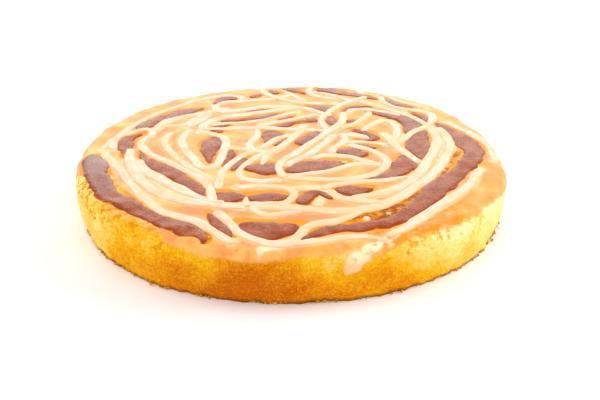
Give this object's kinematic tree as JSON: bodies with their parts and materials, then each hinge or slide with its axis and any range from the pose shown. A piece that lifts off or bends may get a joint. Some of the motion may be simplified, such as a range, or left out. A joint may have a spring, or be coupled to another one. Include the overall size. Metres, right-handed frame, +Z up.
{
  "type": "chocolate cheesecake",
  "caption": "Low round baked cheesecake with a golden crumb side, a softened glazed rim, a chocolate swirl and pale cream strands looped over its flat top",
  "frame": {"origin": "middle of the flat base, on the surface the cake stands on", "axes": "+Z up through the top, -Y towards the viewer of the picture, +X to the viewer's right"},
  "size_m": [0.2376, 0.2376, 0.0283],
  "materials": {
    "sponge": "matte",
    "chocolate": "satin",
    "cream": "satin",
    "crumbs": "matte"
  },
  "bodies": {
    "root": {"cheesecake": "sponge"}
  },
  "joints": []
}
